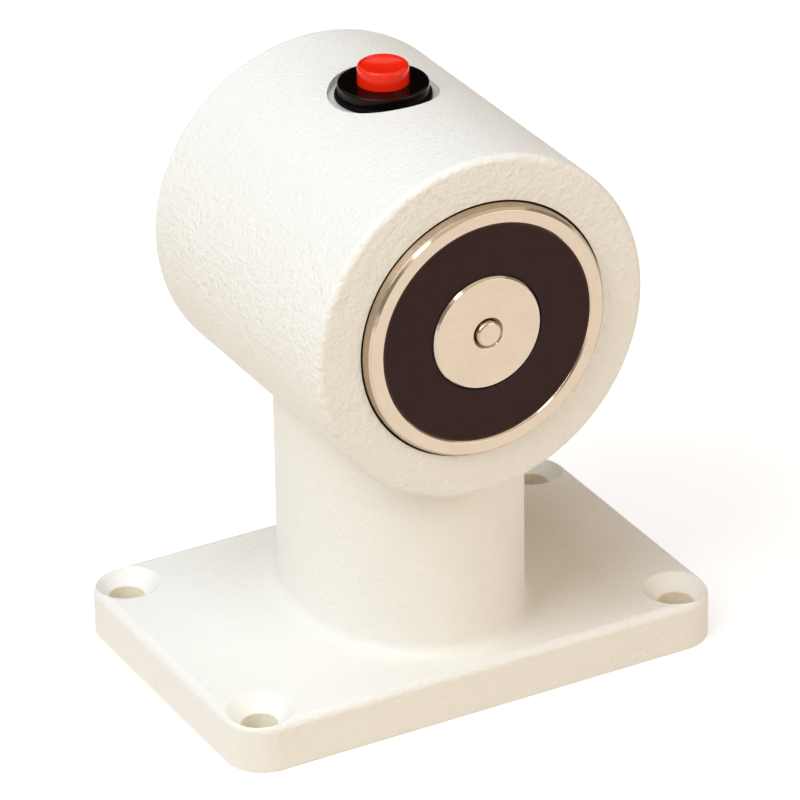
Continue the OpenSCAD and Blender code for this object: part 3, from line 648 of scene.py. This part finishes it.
def magnet_pieces(bright, edge, turned, resin):
    """Outer pole with chamfered rims, inner pole, the resin between them and the sprung pin."""
    place = (0, FACE_Y, AXIS_Z)
    soft = 0.12
    flat_end = 0.02
    face_r, chamfer, draft_end = MAGNET_R - 0.95, 0.5, 1.95
    inner_chamfer, rear_edge = 0.3, 0.4
    pot = turn_section("outer_pole", [
        (RING_IN_R, inner_chamfer, soft), (RING_IN_R + inner_chamfer, 0, soft), (face_r, 0, soft),
        (face_r + chamfer, chamfer, soft), (MAGNET_R, draft_end, soft), (MAGNET_R, MAGNET_L, rear_edge),
        (SPIGOT_R + SEAT, MAGNET_L), (SPIGOT_R + SEAT, POT_FLOOR), (RING_IN_R, POT_FLOOR)],
        place, "Y", steps=144)
    lead_hole = (0, FACE_Y, AXIS_Z - GROMMET_DROP)
    cut(pot, cylinder(GROMMET_R, POT_FLOOR - PAST, MAGNET_L + PAST, lead_hole, "Y", steps=48))
    finish_piece(pot, "holder", "nickel_plate", bright, "magnet_pot")
    # the ring's chamfers and all behind them take the darker nickel, as painted shade
    dress_rim(pot, edge, flat_end)
    # the side behind the chamfer takes the still darker nickel, as painted shade
    dress_rim(pot, turned, chamfer)
    guide, guide_chamfer, core_chamfer = PIN_R + SLIDE, 0.55, 0.5
    core = turn_section("inner_pole", [
        (guide + guide_chamfer, 0, soft), (CORE_R - core_chamfer, 0, soft), (CORE_R, core_chamfer, soft),
        (CORE_R, POT_FLOOR), (SPIGOT_R, POT_FLOOR), (SPIGOT_R, MAGNET_L), (CHAMBER_R, MAGNET_L),
        (CHAMBER_R, GUIDE_L), (guide, GUIDE_L), (guide, guide_chamfer, soft)], place, "Y", steps=144)
    finish_piece(core, "holder", "nickel_plate", bright, "pole_core")
    # the core's chamfers take the darker nickel, as painted shade that also darkens the groove round the
    # pin
    dress_rim(core, edge, flat_end)
    inner, outer = CORE_R + SEAT, RING_IN_R - SEAT
    slope, bend, core_sink, ring_sink = 0.5, 0.6, 0.16, 0.14
    fill = turn_section("resin", [
        (inner, RESIN_BACK), (inner, RESIN_TOP - core_sink), (inner + slope, RESIN_TOP, bend),
        (outer - slope, RESIN_TOP, bend), (outer, RESIN_TOP - ring_sink), (outer, RESIN_BACK)],
        place, "Y", steps=144)
    finish_piece(fill, "holder", "dark_resin", resin, "potting_resin")
    collar, collar_t, tail_r, tail_end = 4.2, 2, 1.6, 17.7
    tip_edge, collar_edge, tail_edge, rest_gap = 0.6, 0.2, 0.3, 0.05
    stop = GUIDE_L + rest_gap
    pin = turn_section("ejector", [
        (0, -PIN_PROUD), (PIN_R, -PIN_PROUD, tip_edge), (PIN_R, stop), (collar, stop, collar_edge),
        (collar, stop + collar_t, collar_edge), (tail_r, stop + collar_t), (tail_r, tail_end, tail_edge),
        (0, tail_end)], place, "Y", steps=64)
    finish_piece(pin, "ejector", "nickel_plate", bright, "ejector_pin")
    # the pin's rounded end and sides take the darker nickel, as painted shade for the groove
    dress_rim(pin, turned, flat_end - PIN_PROUD)


def magnet_screw(steel):
    """Socket screw that holds the magnet from the rear."""
    place = (0, 0, AXIS_Z)
    tip_edge, neck_edge, head_edge = 0.6, 0.2, 0.6
    drill_tip, sink, inset, mouth, above = 0.4, 0.35, 0.1, 0.45, 0.2
    part = turn_section("socket_screw", [
        (0, SCREW_TIP_Y), (SCREW_R, SCREW_TIP_Y, tip_edge), (SCREW_R, SCREW_HEAD_Y, neck_edge),
        (SCREW_HEAD_R, SCREW_HEAD_Y, neck_edge), (SCREW_HEAD_R, SCREW_END_Y, head_edge), (0, SCREW_END_Y)],
        place, "Y", steps=64)
    socket = [(0, SCREW_END_Y - SOCKET_L - drill_tip), (SOCKET_R, SCREW_END_Y - SOCKET_L),
              (SOCKET_R, SCREW_END_Y + PAST), (0, SCREW_END_Y + PAST)]
    cut(part, turn_section("socket", socket, place, "Y", steps=6))
    countersink = [(0, SCREW_END_Y - sink), (SOCKET_R - inset, SCREW_END_Y - sink),
                   (SOCKET_R + mouth, SCREW_END_Y + above), (0, SCREW_END_Y + above)]
    cut(part, turn_section("countersink", countersink, place, "Y", steps=48))
    finish_piece(part, "holder", "zinc_steel", steel, "magnet_screw")


# Release button

def button_pieces(black, rubber, red):
    """Bezel with its bush, the washer below it and the dished cap."""
    place = (0, BUTTON_Y, 0)
    bore, room_r, stem_hole = CAP_R + SLIDE, 4.9, 2.08
    room_z, spring_z = BUSH_END_Z + 3.5, BUSH_END_Z + 5.5
    bush_edge, foot_edge, brow, mouth = 0.3, 0.15, 0.35, 0.12
    bezel = turn_section("bezel", [
        (BUSH_R, BUSH_END_Z, bush_edge), (BUSH_R, BEZEL_SEAT_Z), (BEZEL_R, BEZEL_SEAT_Z, foot_edge),
        (BEZEL_R, BEZEL_TOP_Z, brow), (bore, BEZEL_TOP_Z, mouth), (bore, spring_z), (stem_hole, spring_z),
        (stem_hole, room_z), (room_r, room_z), (room_r, BUSH_END_Z)], place, "Z", steps=128)
    finish_piece(bezel, "holder", "black_gloss_plastic", black, "button_bezel")
    low_edge, high_edge = 0.3, 0.4
    seal = turn_section("seal", [
        (BUSH_R + SEAT, POCKET_Z), (SEAL_R, POCKET_Z, low_edge), (SEAL_R, BEZEL_SEAT_Z, high_edge),
        (BUSH_R + SEAT, BEZEL_SEAT_Z)], place, "Z", steps=128)
    finish_piece(seal, "holder", "black_rubber", rubber, "button_seal")
    stem, socket_z = 2.02, CAP_BASE_Z + 3
    rim_w, rim_edge, skirt_edge = 0.65, 0.6375, 0.1
    dish, dish_rise, dish_lip, dish_points = 0.7, 0.42, 0.12, 8
    dish_r = CAP_R - rim_w
    hollow = [(dish_r * k / dish_points, CAP_TOP_Z - dish + dish_rise * (k / dish_points) ** 2)
              for k in range(dish_points + 1)]
    cap = turn_section("cap", hollow + [
        (dish_r + dish_lip, CAP_TOP_Z, dish_lip), (CAP_R, CAP_TOP_Z, rim_edge),
        (CAP_R, CAP_BASE_Z, skirt_edge), (stem, CAP_BASE_Z), (stem, socket_z), (0, socket_z)],
        place, "Z", steps=128, pieces=7)
    finish_piece(cap, "release_button", "red_gloss_plastic", red, "button_cap")


# Springs

def wind(mean_r, wire, start, rise, turns, per_turn=24, sides=12):
    """Open tube of round wire that winds up round the Z axis from a height."""
    clear_selection()
    at = Vector((mean_r, 0, start + wire / 2))
    bpy.ops.mesh.primitive_circle_add(vertices=sides, radius=wire / 2 * MM, location=at * MM,
                                      rotation=(math.pi / 2, 0, 0))
    bpy.ops.object.transform_apply(location=True, rotation=True, scale=True)
    tube = bpy.context.object
    bpy.ops.object.modifier_add(type="SCREW")
    screw = tube.modifiers[-1]
    screw.screw_offset = rise / turns * MM
    screw.iterations = turns
    screw.steps = per_turn
    screw.render_steps = per_turn
    bpy.ops.object.modifier_apply(modifier=screw.name)
    return tube


def coil(name, mean_r, wire, length, turns, foot, lean=0):
    """Coil spring of round wire with one close turn at each end, from a foot and leaning about X."""
    close_pitch = 1.05
    rise = length - wire
    end = min(wire * close_pitch, rise / turns)
    stretches = ((0, end, 1), (end, rise - 2 * end, turns - 2), (rise - end, end, 1))
    tubes = [wind(mean_r, wire, *stretch) for stretch in stretches]
    take(tubes[0])
    for tube in tubes:
        tube.select_set(True)
    bpy.ops.object.join()
    part = bpy.context.object
    part.name = name
    bpy.ops.object.mode_set(mode="EDIT")
    bpy.ops.mesh.select_all(action="SELECT")
    bpy.ops.mesh.remove_doubles(threshold=WELD * MM)
    bpy.ops.mesh.fill_holes(sides=0)
    bpy.ops.mesh.select_all(action="SELECT")
    bpy.ops.mesh.normals_make_consistent(inside=False)
    bpy.ops.object.mode_set(mode="OBJECT")
    part.location = foot * MM
    part.rotation_euler = (lean, 0, 0)
    bpy.ops.object.transform_apply(location=True, rotation=True, scale=True)
    return part


def springs(steel):
    """Return springs of the cap and the pin, built at one length; in the holder they shorten as these go
    in.
    """
    foot_z, button_l, button_stroke = 101.65, 9.0, 2.0
    mean_r, wire, turns = 3.2, 0.6, 7
    spring = coil("return_spring", mean_r, wire, button_l, turns, Vector((0, BUTTON_Y, foot_z)))
    finish_piece(spring, "holder", "zinc_steel", steel, "button_spring")
    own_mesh(spring)
    rear_y, pin_l, pin_stroke = -18.8, 7.85, 1.5
    mean_r, wire, turns, forward = 2.15, 0.7, 6, math.pi / 2
    spring = coil("pin_spring", mean_r, wire, pin_l, turns, Vector((0, rear_y, AXIS_Z)), forward)
    finish_piece(spring, "holder", "zinc_steel", steel, "ejector_spring")
    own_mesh(spring)


# Studio

def floor_finish():
    """Warm pale floor that looks white where nothing shades it."""
    f = Finish("pale_floor", Roughness=0.9, Specular_IOR_Level=0.0, Emission_Strength=1.0)
    f.feed("Base Color", f.mix(f.noise(300, detail=2), (0.78, 0.69, 0.57), (0.77, 0.68, 0.56)))
    f.feed("Emission Color", f.mix(f.seen(), (0, 0, 0), (0.48, 0.54, 0.62)))
    return f.material


def studio_floor():
    floor_w = 8
    clear_selection()
    bpy.ops.mesh.primitive_plane_add(size=floor_w)
    floor = bpy.context.object
    floor.name = "floor"
    bpy.ops.object.mode_set(mode="EDIT")
    bpy.ops.mesh.subdivide(number_cuts=3)
    bpy.ops.object.mode_set(mode="OBJECT")
    floor.data.materials.append(floor_finish())


def lamps():
    """Square lamps aimed at the part: name, place and width in metres, power in watts, colour."""
    aim = Vector((0, 0, 0.06))
    for name, at, size, power, colour in (
        ("key", (-0.95, -0.30, 1.05), 0.8, 10.6, (0.893, 0.948, 1.0)),
        ("left_top", (-0.65, 0.10, 1.25), 0.8, 4.1, (0.53, 0.763, 1.0)),
        ("top", (-0.15, 0.0, 1.40), 0.35, 3.2, (0.69, 0.836, 1.0)),
        ("fill", (0.75, -1.0, 0.50), 0.8, 4.6, (1.0, 0.93, 0.88)),
        ("glint", (-0.51, -0.965, 1.14), 0.28, 1.2, (1.0, 0.97, 0.93)),
    ):
        light = bpy.data.lights.new(name, "AREA")
        light.size = size
        light.energy = power
        light.color = colour
        lamp = bpy.data.objects.new(name, light)
        bpy.context.scene.collection.objects.link(lamp)
        lamp.location = at
        lamp.rotation_euler = (aim - Vector(at)).to_track_quat("-Z", "Y").to_euler()


def sky():
    """Warm soft light all round. Reflections show a white cove, a gap, dark at the back, and a ceiling."""
    world = bpy.data.worlds.new("studio")
    bpy.context.scene.world = world
    world.use_nodes = True
    backdrop = Shading(world.node_tree)
    direction = backdrop.node("ShaderNodeTexCoord", output="Generated")
    across, along, height = (backdrop.part_of(direction, axis) for axis in "XYZ")
    view = backdrop.node("ShaderNodeLightPath", output="Is Camera Ray")
    cove = backdrop.step(height, 0.02, 0.12, 1, 0)
    ceiling = backdrop.step(height, 0.51, 0.57)
    back = backdrop.step(along, -0.1, 0.3)
    gap = backdrop.mix(back, (0.42, 0.39, 0.36), (0.012, 0.010, 0.009))
    overhead = backdrop.mix(ceiling, gap, (1, 0.92, 0.76))
    shown = backdrop.mix(cove + view, overhead, (1, 1, 1))
    far = backdrop.step(across + along, -0.7, 0.7)
    soft_light = backdrop.mix(far, (0.385, 0.325, 0.215), (0.295, 0.198, 0.118))
    colour = backdrop.mix(backdrop.seen(), soft_light, shown)
    world.node_tree.links.new(colour.socket, world.node_tree.nodes["Background"].inputs["Color"])


def camera():
    azimuth, height, roll = (math.radians(a) for a in (VIEW_AZIMUTH, VIEW_HEIGHT, VIEW_ROLL))
    back = Vector((math.sin(azimuth) * math.cos(height), -math.cos(azimuth) * math.cos(height),
                   math.sin(height)))
    right = Vector((0, 0, 1)).cross(back).normalized()
    up = back.cross(right)
    turned_right = math.cos(roll) * right + math.sin(roll) * up
    turned_up = -math.sin(roll) * right + math.cos(roll) * up
    data = bpy.data.cameras.new("camera")
    data.sensor_width = SENSOR
    data.lens = FOCAL_PX * SENSOR / PICTURE_PX
    view = bpy.data.objects.new("camera", data)
    bpy.context.scene.collection.objects.link(view)
    place = Matrix((turned_right, turned_up, back)).transposed().to_4x4()
    place.translation = VIEW_FROM * MM
    view.matrix_world = place
    bpy.context.scene.camera = view


camera()
studio_floor()
lamps()
sky()
bpy.context.scene.view_settings.view_transform = "Standard"

# the third colour of each coat is painted shade for its relief's dips
coat = powder_coat("white_powder_coat", (0.905, 0.888, 0.855), (0.892, 0.873, 0.838), (0.885, 0.865, 0.828))
# painted light: a warmer coat on the fixing holes' walls stands in for the warm bounce light inside them
hole_coat_painted_light = powder_coat("hole_coat_painted_light", (0.92, 0.86, 0.74), (0.90, 0.83, 0.70), (0.88, 0.81, 0.67))
bright = nickel("nickel_plate", (0.68, 0.57, 0.45), (0.585, 0.478, 0.37), 0.20, 0.30)
# partly painted shade: the chamfers' low roughness is their polish, and their darker colour stands in for
# shade
edge = nickel("polished_edge_painted_shade", (0.58, 0.48, 0.385), (0.53, 0.43, 0.34), 0.09, 0.14)
# painted shade: a still darker nickel for the outer pole's side and the pin's sides, standing in for the
# shade in the gap and in the groove round the pin
turned = nickel("turned_rim_painted_shade", (0.52, 0.41, 0.31), (0.47, 0.365, 0.27), 0.17, 0.25)
steel = plated("zinc_steel", (0.68, 0.69, 0.70), (0.56, 0.57, 0.58), 0.26, 0.42)
brass = plated("brass", (0.76, 0.58, 0.26), (0.62, 0.45, 0.18), 0.24, 0.40)
# painted shade: a dark metal on the magnet bore's wall stands in for the shade in the gap round the magnet
bore_shade_metal = plated("bore_painted_shade", (0.15, 0.11, 0.088), (0.11, 0.08, 0.062), 0.45, 0.6)
ivory = plastic("ivory_plastic", (0.86, 0.83, 0.74), (0.81, 0.77, 0.67), 0.36, 0.5)
rubber = plastic("black_rubber", (0.0025, 0.0015, 0.0015), (0.004, 0.003, 0.003), 0.5, 0.65,
                 grain_mm=0.4, depth_mm=0.02, Specular_IOR_Level=0.05)
gloss_black = plastic("black_gloss_plastic", (0.0022, 0.0011, 0.0010), (0.0032, 0.0018, 0.0016), 0.06, 0.12,
                      Specular_IOR_Level=0.17, Specular_Tint=(1.0, 0.74, 0.68, 1))
gloss_red = cap_red()
resin = potting()
red_wire = plastic("red_insulation", (0.62, 0.03, 0.02), (0.55, 0.025, 0.018), 0.35, 0.48)
black_wire = plastic("black_insulation", (0.028, 0.027, 0.026), (0.04, 0.038, 0.036), 0.38, 0.52)

FINISHES = {
    "nickel_plate": bright, "zinc_steel": steel, "brass": brass, "ivory_plastic": ivory,
    "black_rubber": rubber, "black_gloss_plastic": gloss_black, "red_gloss_plastic": gloss_red,
    "red_insulation": red_wire, "black_insulation": black_wire, "copper_wire": winding(),
    "green_board": board_mask(), "dark_resin": resin, "white_powder_coat": coat,
}
for row in frame["record"]["subparts"]:
    mesh = nodes[row["node"]].data
    mesh.materials.clear()
    mesh.materials.append(FINISHES[row["material_slot"]])

casting(coat, hole_coat_painted_light, machined_alloy(), bore_shade_metal)
magnet_pieces(bright, edge, turned, resin)
magnet_screw(steel)
button_pieces(gloss_black, rubber, gloss_red)
springs(steel)
